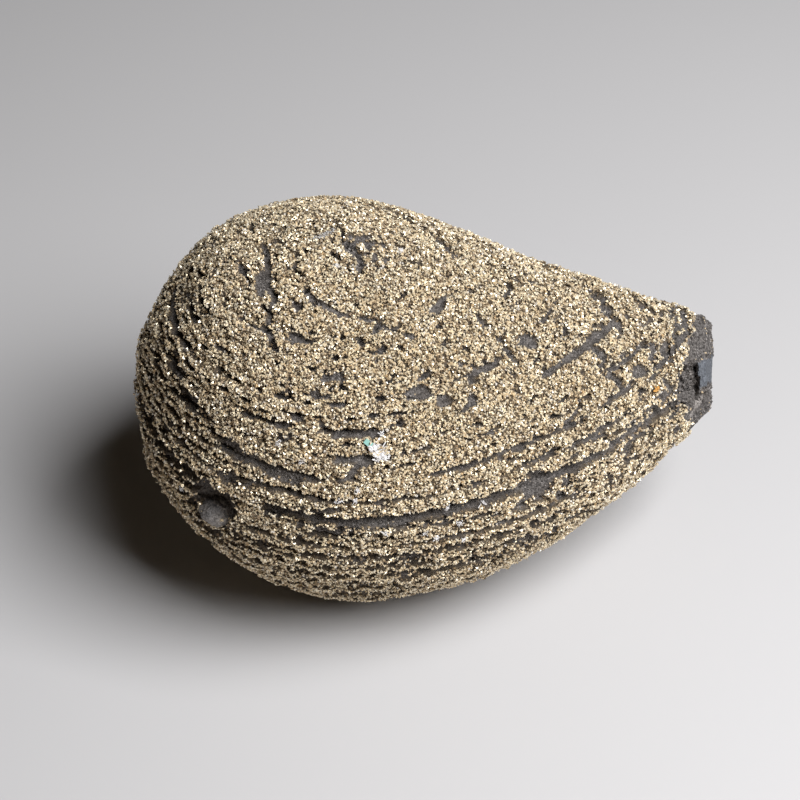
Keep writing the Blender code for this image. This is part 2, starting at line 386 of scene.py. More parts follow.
# The chip: how far its teal box reaches along it, its shares of the chip's width and how high it lies.
TEAL_SHARE = 0.19
TEAL_WIDTH_PARTS, TEAL_THICKNESS_PARTS = 2.3, 5
TEAL_LIFT = 0.0003

# Flakes along the chip: how far along, how many and how widely spread.
CHIP_FLAKES = ((0.45, 40, 0.00022), (0.70, 90, 0.00034), (1.0, 90, 0.00045))
FLAKE_LIFT = 0.0002
FLAKE_SPREAD, FIBRE_SPREAD, END_SPREAD = 0.00022, 0.00028, 0.00050
FLAKE_SHAPE = (0.6, 0.25)


def ease(x):
    """0 below 0, 1 above 1, and a smooth S between."""
    x = np.clip(x, 0.0, 1.0)
    return x * x * (3 - 2 * x)


def lattice_noise(points, size, seed):
    """Smooth noise between -1 and 1: random values on a lattice of this spacing, eased between its
    corners."""
    side = 32
    values = np.random.default_rng(seed).uniform(-1, 1, (side, side, side))
    place = points / np.asarray(size)
    cell = np.floor(place).astype(int)
    part = ease(place - cell)
    total = np.zeros(points.shape[:-1])
    for corner in itertools.product((0, 1), repeat=3):
        at = (cell + corner) % side
        weight = np.prod(np.where(corner, part, 1 - part), axis=-1)
        total += weight * values[at[..., 0], at[..., 1], at[..., 2]]
    return total


def turned_noise(points, size, seed):
    """Lattice noise with its lattice turned in plan, plus the same at about half the size and half the
    height, so that no line of the lattice shows. It reaches about -1 and 1."""
    first = np.array([[0.83, 0.56, 0.0], [-0.56, 0.83, 0.0], [0.0, 0.0, 1.0]])
    second = np.array([[0.34, -0.94, 0.0], [0.94, 0.34, 0.0], [0.0, 0.0, 1.0]])
    broad = lattice_noise(points @ first, size, seed)
    fine = lattice_noise(points @ second, np.asarray(size) * FINE_SIZE, seed + FINE_SEED)
    return broad + FINE_HEIGHT * fine


def radius_at(station, stepped=True):
    """A quarter ellipse up to the girth, a taper by a power of the distance, the flare and the step."""
    before = np.clip(1 - station / GIRTH_STATION, 0, 1)
    after = np.clip((station - GIRTH_STATION) / TAPER_LENGTH, 0, 1)
    flare = FLARE * ease((station - FLARE_START) / FLARE_LENGTH)
    step = SHOULDER_STEP * shoulder(station) if stepped else 0.0
    return GIRTH_RADIUS * np.sqrt(1 - before**2) * (1 - after**TAPER_POWER) + flare - step


def shoulder(station):
    """0 before the step down to the stub, 1 after it."""
    return ease((station - SHOULDER_STATION) / SHOULDER_LENGTH)


def centre_height(station):
    sag = SAG * ease((station - SAG_START) / SAG_LENGTH)
    return CENTRE_HEIGHT - sag + LIFT * ease((station - LIFT_START) / LIFT_LENGTH)


def centre_side(station):
    return BEND * np.clip((station - BEND_START) / BEND_LENGTH, 0, None) ** 2


def axis_station(level):
    return AXIS_STATION_LOW + (AXIS_STATION_HIGH - AXIS_STATION_LOW) * level / SUMMIT_HEIGHT


def from_centre(points):
    """How far points lie from the centre line, as vectors across it."""
    side = points[..., 1] - centre_side(points[..., 0])
    height = points[..., 2] - centre_height(points[..., 0])
    return np.stack([np.zeros(side.shape), side, height], axis=-1)


def bed_rise(station, level):
    """How far a bed at this level lies above it: none at the flat spot, the summit and the neck."""
    share = np.sin(np.pi * np.clip(level / SUMMIT_HEIGHT, 0, 1))
    return RISE * share * ease((RISE_STATION - station) / RISE_LENGTH)


def ledged(level):
    """The height whose outline a level takes: drawn towards the middle of its layer, which makes ledges."""
    heights = np.array([0.0] + BED_HEIGHTS + [SUMMIT_HEIGHT])
    layer = np.clip(np.searchsorted(heights, level) - 1, 0, len(heights) - 2)
    low, high = heights[layer], heights[layer + 1]
    edge = np.minimum(level - low, high - level)
    return level + LEDGE_SHARE * ((low + high) / 2 - level) * np.clip(edge / GROOVE_HALF_WIDTH, 0, 1)


def column_angles():
    """Angles round the axis, drawn together towards the neck: equal shares of a density with a bump there."""
    fine = np.linspace(-np.pi, np.pi, NECK_CROWDING_STEPS)
    density = 1 + NECK_CROWDING * np.exp(-((fine / NECK_CROWDING_WIDTH) ** 2))
    share = np.concatenate([[0.0], np.cumsum((density[1:] + density[:-1]) / 2)])
    return NECK_ANGLE + np.interp(np.arange(COLUMNS) / COLUMNS, share / share[-1], fine)


def outline(angles, level, dressed):
    """The lump's surface at these levels, as points (rows, columns, 3), and 1 where it is on the body's
    flat end, drawn in there to lie inside the stub.

    A ray from the leaning axis leaves the lump where its distance from the centre line is the radius.
    That place is found by halving, and the flat end stops the rays that meet it first. The lump that
    isn't dressed has no ledges, step, rise or end.
    """
    level = level[:, None]
    base = ledged(level) if dressed else level
    start = axis_station(base)
    along, across = np.cos(angles), np.sin(angles)
    shape = np.broadcast_shapes(level.shape, along.shape)
    near = np.zeros(shape)
    far = np.full(shape, RAY_LENGTH)
    for _ in range(HALVINGS):
        middle = (near + far) / 2
        station = start + middle * along
        height = base + (bed_rise(station, level) if dressed else 0.0)
        off_side = middle * across - centre_side(station)
        inside = off_side**2 + (height - centre_height(station)) ** 2 < radius_at(station, dressed) ** 2
        near = np.where(inside, middle, near)
        far = np.where(inside, far, middle)
    reach = np.where(along > LEAST_APPROACH, (BODY_END - start) / np.maximum(along, LEAST_APPROACH), np.inf)
    ended = (reach < near) & dressed
    near = np.where(ended, reach, near)
    station = start + near * along
    height = level + (bed_rise(station, level) if dressed else 0.0)
    points = np.stack([station, near * across, height + 0 * station], axis=-1)
    drawn = points - (1 - BODY_END_DRAWN) * from_centre(points)
    return np.where(ended[..., None], drawn, points), ended.astype(float)


class Spots:
    """Places on the smooth lump: points, outward directions, bed levels, and 1 on the body's flat end."""

    def __init__(self, points, out, level, ended):
        self.points = points
        self.out = out / np.linalg.norm(out, axis=-1, keepdims=True)
        self.level = level
        self.ended = ended

    def flat(self):
        """The same places as one long row."""
        points, out = self.points.reshape(-1, 3), self.out.reshape(-1, 3)
        return Spots(points, out, self.level.ravel(), self.ended.ravel())

    def only(self, chosen):
        return Spots(self.points[chosen], self.out[chosen], self.level[chosen], self.ended[chosen])


def cap_points(rim, shares):
    """Rows that run from a ring in to the axis over the top, at the height of the smooth lump there."""
    start = np.array([axis_station(CAP_HEIGHT), 0.0])
    flat = start + shares[:, None, None] * (rim[None, :, :2] - start)
    station, side = flat[..., 0], flat[..., 1]
    top = centre_height(station) + np.sqrt(radius_at(station) ** 2 - (side - centre_side(station)) ** 2)
    return np.concatenate([flat, top[..., None]], axis=-1)


def disc_points(rim, shares):
    """Rows that run from the axis out to a ring on the flat spot."""
    start = np.array([axis_station(0.0), 0.0])
    flat = start + shares[:, None, None] * (rim[None, :, :2] - start)
    return np.concatenate([flat, np.zeros(flat.shape[:2] + (1,))], axis=-1)


def lump_grid():
    """Spots on a grid. Its rows go up from the middle of the flat spot to the summit, spaced evenly along
    a round side, and its columns go round the axis. The outward directions are those of the plain lump,
    square to its rows and columns."""
    angles = column_angles()
    reach = GIRTH_RADIUS
    middle = SUMMIT_HEIGHT - reach
    foot_turn = math.acos(middle / reach)
    cap_turn = math.acos((middle - CAP_HEIGHT) / reach)
    turn = np.linspace(foot_turn, cap_turn, LEVEL_ROWS)
    level = np.clip(middle - reach * np.cos(turn), 0.0, CAP_HEIGHT)
    points, ended = outline(angles, level, True)
    smooth, _ = outline(angles, level, False)
    foot_shares = np.arange(FOOT_ROWS) / FOOT_ROWS
    cap_shares = 1 - np.arange(1, CAP_ROWS + 1) / CAP_ROWS
    foot, cap = disc_points(points[0], foot_shares), cap_points(points[-1], cap_shares)
    up = np.gradient(smooth, axis=0)
    round_it = np.roll(smooth, -1, axis=1) - np.roll(smooth, 1, axis=1)
    out = np.cross(round_it, up)
    out /= np.linalg.norm(out, axis=-1, keepdims=True)
    cap_up = cap - np.array([0.0, 0.0, CAP_HEIGHT - GIRTH_RADIUS])
    cap_up[..., 0] -= axis_station(CAP_HEIGHT)
    down = np.broadcast_to(np.array([0.0, 0.0, -1.0]), foot.shape)
    everything = np.concatenate([foot, points, cap])
    level_all = np.concatenate([np.zeros(FOOT_ROWS), level, np.full(CAP_ROWS, CAP_HEIGHT)])
    level_all = np.broadcast_to(level_all[:, None], everything.shape[:2]).copy()
    level_all[-CAP_ROWS:] = cap[..., 2]
    ended_all = np.pad(ended, ((FOOT_ROWS, CAP_ROWS), (0, 0)))
    return Spots(everything, np.concatenate([down, out, cap_up]), level_all, ended_all)


def frame_shift(grid):
    """What moves the lump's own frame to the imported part's: their blunt ends meet along X, and the middles
    of their boxes along Y."""
    flat = grid.flat()
    swollen = flat.points + flat.out * swells(flat)[:, None]
    low, high = swollen.min(axis=0), swollen.max(axis=0)
    return np.array([cad_low[0] - low[0], (cad_low[1] + cad_high[1] - low[1] - high[1]) / 2, 0.0])


def steepness(spots):
    """0 on the summit, 1 on upright sides and below."""
    return 1 - np.clip(spots.out[:, 2], 0, 1) ** 2


def wobbled_level(spots):
    """The bed level at each spot, with the beds' slow unevenness."""
    return spots.level + LAMINA_WOBBLE * lattice_noise(spots.points, LAMINA_WOBBLE_SIZE, SEED + 13)


def near_neck(spots):
    """0 on the wide part of the lump, 1 on the neck."""
    return ease((spots.points[:, 0] - NECK_BARE_STATION) / NECK_BARE_LENGTH)


def bed_grooves(spots):
    """Each spot's share of being in an open groove, and the groove's depth there. A groove is a V across its
    bed, as wide along the surface on the top as on the sides, and crusted over in patches: least at the
    deepest bed and near the neck, most on the top."""
    share = np.zeros(len(spots.points))
    depth_there = np.zeros(len(spots.points))
    level = wobbled_level(spots) + GROOVE_RAGGED * turned_noise(spots.points, GROOVE_RAGGED_SIZE, SEED + 3)
    slope = np.sqrt(np.clip(1 - spots.out[:, 2] ** 2, LEAST_SLOPE**2, 1))
    patch = GROOVE_OPEN + GROOVE_PATCH_OPEN * turned_noise(spots.points, GROOVE_PATCH, SEED + 2)
    patch -= GROOVE_TOP_SHUT * ease((level - GROOVE_TOP_LEVEL) / GROOVE_TOP_LENGTH)
    neck = near_neck(spots)
    patch += GROOVE_NECK_OPEN * neck * ease((NECK_BAND_TOP - level) / NECK_BAND_FADE)
    deepest = max(depth for height, depth in BEDS)
    for height, depth in BEDS:
        half = MAIN_HALF_WIDTH if height == MAIN_BED_HEIGHT else GROOVE_HALF_WIDTH
        across = np.clip(1 - np.abs(level - height) / (half * slope), 0, 1)
        open_share = ease(GROOVE_DEPTH_OPEN * depth / deepest + patch)
        share = np.maximum(share, ease(across * 2.0) * open_share)
        depth_there = np.maximum(depth_there, across * open_share * depth)
    return share, depth_there


def bare_marks(points, shift):
    """1 in the bare patches and strokes, falling to 0 at their edges. A patch is an ellipsoid round its
    middle, and a stroke is what lies near its line."""
    placed = points + shift
    ragged = MARK_RAGGED * turned_noise(points, MARK_RAGGED_SIZE, SEED + 60)
    mark = np.zeros(len(points))
    for middle, radii, bareness in BARE_PATCHES:
        far = np.linalg.norm((placed - middle) / np.asarray(radii), axis=1)
        mark = np.maximum(mark, bareness * ease((PATCH_REACH - far + ragged) / PATCH_EDGE))
    for half, bareness, line in BARE_STROKES:
        nearest = np.full(len(points), np.inf)
        for start, end in zip(np.array(line), np.array(line)[1:]):
            way = end - start
            share = np.clip((placed - start) @ way / (way @ way), 0, 1)
            nearest = np.minimum(nearest, np.linalg.norm(placed - start - share[:, None] * way, axis=1))
        mark = np.maximum(mark, bareness * ease((STROKE_REACH - nearest / half + ragged) / STROKE_EDGE))
    return mark


def beyond_crust(points):
    """How far points lie beyond the crust's ragged end on the neck, below zero where they are before it."""
    off = from_centre(points)
    angle = np.arctan2(off[:, 2], off[:, 1]) - CRUST_END_SET_BACK_ANGLE
    angle = (angle + np.pi) % (2 * np.pi) - np.pi
    back = CRUST_END_SET_BACK * np.exp(-((angle / CRUST_END_SET_BACK_WIDTH) ** 2))
    ragged = CRUST_END_RAGGED * turned_noise(points, CRUST_END_RAGGED_SIZE, SEED + 61)
    return points[:, 0] - CRUST_END + back - ragged


def past_crust_end(points):
    """0 where the crust covers the neck, 1 past its ragged end."""
    return ease(beyond_crust(points) / CRUST_END_EDGE)


def patch_field(spots):
    """Low where the crust is bare in patches drawn out along the beds, more of them low on the neck."""
    bedded = np.column_stack([spots.points[:, :2], spots.level])
    steep = steepness(spots)
    streak = turned_noise(bedded, STREAK_SIZE, SEED + 10)
    clump = turned_noise(spots.points, CLUMP_SIZE, SEED + 11)
    slow = lattice_noise(spots.points, SLOW_SIZE, SEED + 12)
    neck = near_neck(spots)
    field = streak * (STREAK_FLAT + STREAK_STEEP * steep) + CLUMP_WEIGHT * clump + SLOW_WEIGHT * slow
    return field - NECK_BAND_WEIGHT * neck * ease((NECK_BAND_TOP - spots.level) / NECK_BAND_FADE)


def hole_field(spots):
    """Low in small holes: round ones on the top, and slits along the laminae on steep sides. The laminae
    lie further apart low down, and gape most there and at the blunt end."""
    bedded = np.column_stack([spots.points[:, :2], spots.level])
    steep = steepness(spots)
    hole = turned_noise(spots.points, HOLE_SIZE, SEED + 15)
    slit = turned_noise(bedded, SLIT_SIZE, SEED + 16)
    level = wobbled_level(spots)
    spread = np.where(level > LAMINA_LOW, level, LAMINA_LOW + LAMINA_LOW_SHARE * (level - LAMINA_LOW))
    lamina = np.cos(2 * np.pi * spread / LAMINA_SPACING)
    neck = near_neck(spots)
    low = ease((GAPE_LEVEL - level) / GAPE_LEVEL_FADE)
    blunt = ease((GAPE_STATION - spots.points[:, 0]) / GAPE_STATION_FADE)
    gaping = np.maximum(low, blunt) * (1 - neck)
    patch = turned_noise(bedded, LAMINA_PATCH, SEED + 14)
    held = ease(LAMINA_HELD + patch + LAMINA_HELD_GAPING * gaping)
    lamina_share = LAMINA_WEIGHT * held * (1 - LAMINA_NECK_LOSS * neck)
    side = SIDE_HOLE_WEIGHT * hole + SLIT_WEIGHT * slit + lamina_share * lamina - LAMINA_OPEN * gaping
    return hole * (1 - steep) + side * steep - NECK_HOLE_WEIGHT * neck


def swells(spots):
    """The part's own slow swells and its shift from layer to layer."""
    layer = np.searchsorted(BED_HEIGHTS, spots.level)
    rise = SWELL_HEIGHT * lattice_noise(spots.points, SWELL_SIZE, SEED)
    apart = spots.points + layer[:, None] * np.array([0.0, 0.0, 1.0])
    rise += LAYER_SHIFT * lattice_noise(apart, LAYER_SHIFT_SIZE, SEED + 1)
    rise *= ease(spots.points[:, 2] / FOOT_FADE)
    return rise * ease((SHOULDER_STATION - spots.points[:, 0]) / NECK_FADE)


def pit_depth(spots):
    """How far in from each spot the pit's wall lies: where the line that runs straight in leaves the pit's
    ellipsoid, 0 if it doesn't start inside."""
    place = (spots.points - PIT_CENTRE) / np.asarray(PIT_RADII)
    way = -spots.out / np.asarray(PIT_RADII)
    a = np.sum(way * way, axis=1)
    b = np.sum(place * way, axis=1)
    c = np.sum(place * place, axis=1) - 1
    return np.where(c < 0, (np.sqrt(np.clip(b * b - a * c, 0, None)) - b) / a, 0.0)


def nodule_grid():
    """The nodule's points (rows, columns, 3): an ellipsoid, rough all over, in rows from its foot to its
    top."""
    turn = np.linspace(0, np.pi, NODULE_ROWS)[:, None]
    angle = 2 * np.pi * np.arange(NODULE_COLUMNS) / NODULE_COLUMNS
    across, height = np.sin(turn), -np.cos(turn) + 0 * angle
    out = np.stack([across * np.cos(angle), across * np.sin(angle), height], axis=-1)
    points = np.array(NODULE_CENTRE) + out * NODULE_RADII
    rough = sum(rise * lattice_noise(points, (size,) * 3, SEED + 40) for size, rise in NODULE_ROUGHNESS)
    return points + out * rough[..., None]


def break_station(side, height):
    """Where the break lies over each place across the neck: on the facet that comes first."""
    stations = [
        point[0] - (facing[1] * (side - point[1]) + facing[2] * (height - point[2])) / facing[0]
        for point, facing in BREAK_FACETS
    ]
    return np.minimum.reduce(stations)


def break_place(points):
    """How far points lie down across the break, and how far out towards the side that is seen."""
    off = from_centre(points)
    return off @ np.array(BREAK_DOWN), off @ np.array(BREAK_OUT)


def stub_relief(points):
    """How deep the stub is sunk at each point, and 1 on the smooth plate."""
    down, outward = break_place(points)
    jog = BREAK_JOG * turned_noise(points, BREAK_JOG_SIZE, SEED + 30)
    this_side = ease(outward / BREAK_SIDE_FADE)
    below_top = ease((down - RECESS_TOP + jog) / RECESS_TOP_FADE)
    level_with_plate = below_top * ease((RECESS_BOTTOM - down + jog) / RECESS_BOTTOM_FADE)
    before_plate = ease((RECESS_END - points[..., 0] + jog) / RECESS_END_FADE)
    recess = level_with_plate * before_plate * this_side
    trench = ease((TRENCH_HALF_WIDTH - np.abs(down - TRENCH_DOWN + jog)) / TRENCH_FADE) * this_side
    plate = level_with_plate * (1 - before_plate) * ease((PLATE_BOTTOM - down + jog) / PLATE_FADE)
    rough = sum(share * lattice_noise(points, (size,) * 3, SEED + seed) for size, share, seed in STUB_NOISES)
    sunk = RECESS_DEPTH * recess + TRENCH_DEPTH * trench
    return sunk + STUB_ROUGH * rough * (1 + recess - PLATE_SMOOTH * plate), plate


def stub_ridge(points):
    """1 on the pale ridge: near a slanting line on the seen side of the break, between its two ends."""
    down, outward = break_place(points)
    jog = RIDGE_JOG * turned_noise(points, RIDGE_JOG_SIZE, SEED + 34)
    away = np.abs(points[..., 0] - RIDGE_STATION + RIDGE_SLANT * (down - RIDGE_DOWN) + jog)
    ridge = ease((RIDGE_HALF_WIDTH - away) / RIDGE_EDGE) * ease((down - RIDGE_TOP) / RIDGE_FADE)
    return ridge * ease((RIDGE_BOTTOM - down) / RIDGE_FADE) * ease(outward / BREAK_SIDE_FADE)


def stub_grid():
    """The stub's points (rows, columns, 3). Rows go out from the middle of its hidden end, along its side
    and in over the break to its middle."""
    angles = 2 * np.pi * np.arange(STUB_COLUMNS) / STUB_COLUMNS
    ring = np.stack([np.zeros(STUB_COLUMNS), np.cos(angles), np.sin(angles)], axis=-1)

    def side_points(station):
        drawn = STUB_START_DRAWN * (1 - ease((station - STUB_START) / STUB_START_LENGTH))
        radius = radius_at(station, False) - SHOULDER_STEP - drawn
        centre = np.stack([station, centre_side(station), centre_height(station)], axis=-1)
        return centre + radius[..., None] * ring

    rim = np.full(STUB_COLUMNS, SHOULDER_STATION)
    for _ in range(STUB_RIM_ROUNDS):
        edge = side_points(rim)
        rim = break_station(edge[:, 1], edge[:, 2])
    share = np.linspace(0, 1, STUB_SIDE_ROWS)[:, None]
    side = side_points(STUB_START + share * (rim - STUB_START))
    sunk, side_plate = stub_relief(side)
    side = side - sunk[..., None] * ring
    centre = np.array([0.0, side[-1, :, 1].mean(), side[-1, :, 2].mean()])
    share = (1 - np.arange(1, STUB_FACE_ROWS) / (STUB_FACE_ROWS - 1))[:, None, None]
    face = centre + share * (side[-1] - centre)
    face[..., 0] = break_station(face[..., 1], face[..., 2])
    sunk, face_plate = stub_relief(face)
    face[..., 0] -= sunk * ease((1 - share[..., 0]) / STUB_FACE_EDGE)
    start = np.broadcast_to(side[0].mean(axis=0), side[:1].shape)
    plate = np.concatenate([np.zeros((1, STUB_COLUMNS)), side_plate, face_plate])
    return np.concatenate([start, side, face]), plate


class Crust:
    """The crust's shape, shared by the body and the crystals: where it lies and how far each spot moves
    outwards for the crust's top and for the shale under it."""

    def __init__(self, sizes, grid):
        self.sizes = sizes
        self.shift = frame_shift(grid)
        self.patch_limit = np.quantile(patch_field(grid.flat()), sizes.patches)
        self.hole_limit = np.quantile(hole_field(grid.flat()), sizes.holes)

    def share(self, spots, shrunk=0.0):
        """0 on bare shale, 1 on crust."""
        patch = patch_field(spots) - self.patch_limit
        hole = hole_field(spots) - self.hole_limit
        groove, _ = bed_grooves(spots)
        before_end = ease(1 + beyond_crust(spots.points) / CRUST_END_WHOLE_LENGTH)
        patterned = np.minimum(patch, hole) + CRUST_END_WHOLE * before_end
        islands = GROOVE_ISLANDS * turned_noise(spots.points, GROOVE_ISLAND_SIZE, SEED + 24)
        field = np.minimum(patterned, GROOVE_CLEAR - GROOVE_CUT * groove + islands * groove) - shrunk
        field -= MARK_CUT * bare_marks(spots.points, self.shift)
        crusted = ease(field / EDGE_SOFTNESS)
        bare = ease(pit_depth(spots) / PIT_EDGE)
        return crusted * (1 - past_crust_end(spots.points)) * (1 - spots.ended) * (1 - bare)

    def lumps(self, points):
        """0 in the creases and 1 on the rounded lumps between them: the size of a noise without its sign."""
        size = np.array([1.0, 1.0, LUMP_FLATNESS]) * self.sizes.lump_size
        billow = np.abs(lattice_noise(points @ TILT, size, SEED + 20))
        fine = np.abs(lattice_noise(points @ TILT.T, size * FINE_LUMP_SIZE, SEED + 21))
        return np.clip((billow + FINE_LUMP_HEIGHT * fine) * LUMP_GAIN, 0, 1)

    def move(self, spots, share, lowered=0.0):
        """The spots moved out to the crust or in to the shale, less the pit."""
        _, groove = bed_grooves(spots)
        rough = SHALE_ROUGH * turned_noise(spots.points, SHALE_ROUGH_SIZE, SEED + 22)
        rough += SHALE_FINE_ROUGH * lattice_noise(spots.points, SHALE_FINE_ROUGH_SIZE, SEED + 23)
        hole = hole_field(spots) - self.hole_limit
        holed = self.sizes.hole_depth * ease(HOLE_BRINK - hole / HOLE_FADE)
        shale = -self.sizes.depth + rough - GROOVE_SUNK * groove - holed
        top = self.sizes.top + self.sizes.lump_height * (self.lumps(spots.points) - LUMP_MIDDLE)
        stepped = SHOULDER_STEP * shoulder(spots.points[:, 0])
        shale = np.minimum(shale + stepped, rough)
        moved = shale + (top + stepped - lowered - shale) * share + swells(spots)
        moved -= BODY_UNDER_STUB * past_crust_end(spots.points)
        moved *= ease(spots.level / FLAT_FADE) * (1 - spots.ended)
        wall = pit_depth(spots)
        moved = np.where(wall > 0, np.minimum(rough - wall, moved), moved)
        return spots.points + spots.out * moved[:, None]


def add_mesh(name, points, corners, sides, finishes=None, smooth=False):
    """A mesh object from whole arrays: points, the faces' corners in order, and each face's number of
    sides and finish."""
    mesh = bpy.data.meshes.new(name)
    mesh.vertices.add(len(points))
    mesh.vertices.foreach_set("co", np.asarray(points, np.float32).ravel())
    mesh.loops.add(len(corners))
    mesh.loops.foreach_set("vertex_index", np.asarray(corners, np.int32))
    mesh.polygons.add(len(sides))
    mesh.polygons.foreach_set("loop_start", (np.cumsum(sides) - sides).astype(np.int32))
    if finishes is not None:
        mesh.polygons.foreach_set("material_index", finishes.astype(np.int32))
    mesh.polygons.foreach_set("use_smooth", np.full(len(sides), smooth))
    mesh.update(calc_edges=True)
    piece = bpy.data.objects.new(name, mesh)
    bpy.context.scene.collection.objects.link(piece)
    return piece


def grid_faces(rows, columns):
    """Corners and sides of the faces between a grid's rows, which close on themselves. Rows 0 and last
    are single points, so the faces next to them are triangles."""
    column = np.arange(columns)
    after = (column + 1) % columns
    first = 1 + np.arange(rows - 3)[:, None] * columns
    quads = np.stack([first + column, first + after, first + columns + after, first + columns + column], -1)
    top = 1 + (rows - 2) * columns
    low = np.stack([np.zeros(columns, int), 1 + after, 1 + column], -1)
    high = np.stack([np.full(columns, top), top - columns + column, top - columns + after], -1)
    corners = np.concatenate([low.ravel(), quads.ravel(), high.ravel()])
    sides = np.concatenate([np.full(columns, 3), np.full(quads.shape[0] * columns, 4), np.full(columns, 3)])
    return corners, sides


def close_poles(rows):
    """A grid's values with its first and last rows drawn into one value each."""
    inner = rows[1:-1].reshape((-1,) + rows.shape[2:])
    return np.concatenate([rows[0].mean(axis=0)[None], inner, rows[-1].mean(axis=0)[None]])


class Value:
    """A number that changes over a surface. Python sums on it add Math nodes."""

    def __init__(self, graph, socket):
        self.graph = graph
        self.socket = socket

    def __add__(self, other):
        return self.graph.math("ADD", self, other)

    def __radd__(self, other):
        return self.graph.math("ADD", other, self)

    def __sub__(self, other):
        return self.graph.math("SUBTRACT", self, other)

    def __rsub__(self, other):
        return self.graph.math("SUBTRACT", other, self)

    def __mul__(self, other):
        return self.graph.math("MULTIPLY", self, other)

    def __rmul__(self, other):
        return self.graph.math("MULTIPLY", other, self)

    def clamped(self):
        return self.graph.node("ShaderNodeClamp", {}, {"Value": self})


def plain(colour):
    """A colour as sockets take it, with its alpha. One that changes over a surface stays as it is."""
    return colour if isinstance(colour, Value) else (*colour, 1.0)


class Graph:
    """A material's nodes, and the sums on them."""

    def __init__(self, name):
        self.material = bpy.data.materials.new(name)
        self.material.use_nodes = True
        self.tree = self.material.node_tree
        self.tree.nodes.clear()

    def node(self, kind, settings, sockets, output=0):
        """A node with its settings made first, a ramp's stops among them, then its sockets' values or
        links."""
        made = self.tree.nodes.new(kind)
        for name, value in settings.items():
            if name == "stops":
                self.set_stops(made.color_ramp, value)
            else:
                setattr(made, name, value)
        for name, value in sockets.items():
            if isinstance(value, Value):
                self.tree.links.new(value.socket, made.inputs[name])
            else:
                made.inputs[name].default_value = value
        return Value(self, made.outputs[output]) if made.outputs else None

    @staticmethod
    def set_stops(ramp, stops):
        while len(ramp.elements) < len(stops):
            ramp.elements.new(0.5)
        for element, (place, colour) in zip(ramp.elements, stops):
            element.position = place
            element.color = plain(colour)

    def math(self, operation, first, second):
        return self.node("ShaderNodeMath", {"operation": operation}, {0: first, 1: second})

    def attribute(self, name):
        return self.node("ShaderNodeAttribute", {"attribute_name": name}, {}, output="Fac")

    def place(self):
        return self.node("ShaderNodeTexCoord", {}, {}, output="Object")

    def noise(self, scale, detail, roughness):
        """Noise on Object coordinates, with so many features to a metre."""
        sockets = {"Vector": self.place(), "Scale": scale, "Detail": detail, "Roughness": roughness}
        return self.node("ShaderNodeTexNoise", {}, sockets)

    def cells(self, scale, output):
        """A pattern of cells, so many to a metre: the distance to a cell's middle, or its own colour."""
        sockets = {"Vector": self.place(), "Scale": scale}
        return self.node("ShaderNodeTexVoronoi", {"feature": "F1"}, sockets, output)

    def ramp(self, factor, stops):
        return self.node("ShaderNodeValToRGB", {"stops": stops}, {0: factor})

    def mix(self, factor, first, second):
        """The first colour where the factor is 0, the second where it is 1. The node's sockets for colours
        share their names with others, so they go by number."""
        sockets = {0: factor, 6: plain(first), 7: plain(second)}
        return self.node("ShaderNodeMix", {"data_type": "RGBA"}, sockets, output=2)

    def finish(self, **sockets):
        """A Principled BSDF with these sockets, set as the material's surface."""
        named = {key.replace("_", " ").title(): value for key, value in sockets.items()}
        shader = self.node("ShaderNodeBsdfPrincipled", {}, named)
        self.node("ShaderNodeOutputMaterial", {}, {"Surface": shader})
        return self.material


def rock_material(colours):
    """Bare shale, dark and finely mottled, with a blue-grey plate and a paler ridge on the break, and
    the crust's ground where the crystals stand, in dark brass that is painted shade between the crystals."""
    graph = Graph("shale_and_crust")
    crust, blue, pale = graph.attribute("crust"), graph.attribute("blue"), graph.attribute("pale")
    mottle = graph.noise(MOTTLE_SCALE, 4.0, 0.7)
    cloud = graph.noise(CLOUD_SCALE, 3.0, 0.55)
    speckle = graph.ramp(mottle, ((0.40, (0, 0, 0)), (0.60, (1, 1, 1))))
    shale = graph.mix(speckle, colours.shale_dark, colours.shale)
    shale = graph.mix((cloud - 0.45) * 2.2, shale, colours.shale_brown)
    bluish = graph.mix(speckle, colours.shale_blue_dark, colours.shale_blue)
    shale = graph.mix(blue, shale, bluish)
    shale = graph.mix(pale * (mottle * 2.4 - 0.4).clamped(), shale, colours.shale_pale)
    tone = graph.node("ShaderNodeSeparateColor", {}, {0: graph.cells(CELL_SCALE, "Color")})
    edge = graph.cells(CELL_SCALE, "Distance")
    # The crust's ground is painted dark: painted shade between the crystals, in a random tone from cell to
    # cell.
    shaded_ground = graph.mix(tone, colours.darkest_shaded_ground, colours.shaded_ground)
    grain = graph.noise(GRAIN_SCALE, 2.0, 0.6)
    height = (1 - edge) * crust * CELL_HEIGHT + mottle * MOTTLE_HEIGHT + grain * GRAIN_HEIGHT
    bump = graph.node("ShaderNodeBump", {}, {"Height": height, "Strength": 1.0, "Distance": BUMP_DISTANCE})
    return graph.finish(
        base_color=graph.mix(crust, shale, shaded_ground),
        metallic=crust * 0.2,
        roughness=0.85 - crust * 0.3 + (mottle - 0.5) * 0.2,
        normal=bump,
    )


def crystal_materials(colours):
    """One finish for each kind of crystal face, from bright brass to rust and dust."""
    kinds = (
        ("pyrite_bright", colours.bright, 0.42, 0.34),
        ("pyrite_brass", colours.brass, 0.38, 0.40),
        # The dull and tarnished finishes also serve as painted shade, on crystals in the creases and low on
        # the walls.
        ("pyrite_dull", colours.dull, 0.30, 0.50),
        ("pyrite_tarnish_and_shade", colours.tarnish_and_shade, 0.25, 0.60),
        ("pyrite_rusty", colours.rusty, 0.10, 0.70),
        ("pyrite_dusty", colours.dusty, 0.05, 0.80),
    )
    return [
        Graph(name).finish(base_color=plain(colour), metallic=metallic, roughness=roughness)
        for name, colour, metallic, roughness in kinds
    ]


def dull_materials(kinds, roughness):
    """Plain finishes of the same roughness, from their names and colours."""
    return [Graph(name).finish(base_color=plain(colour), roughness=roughness) for name, colour in kinds]


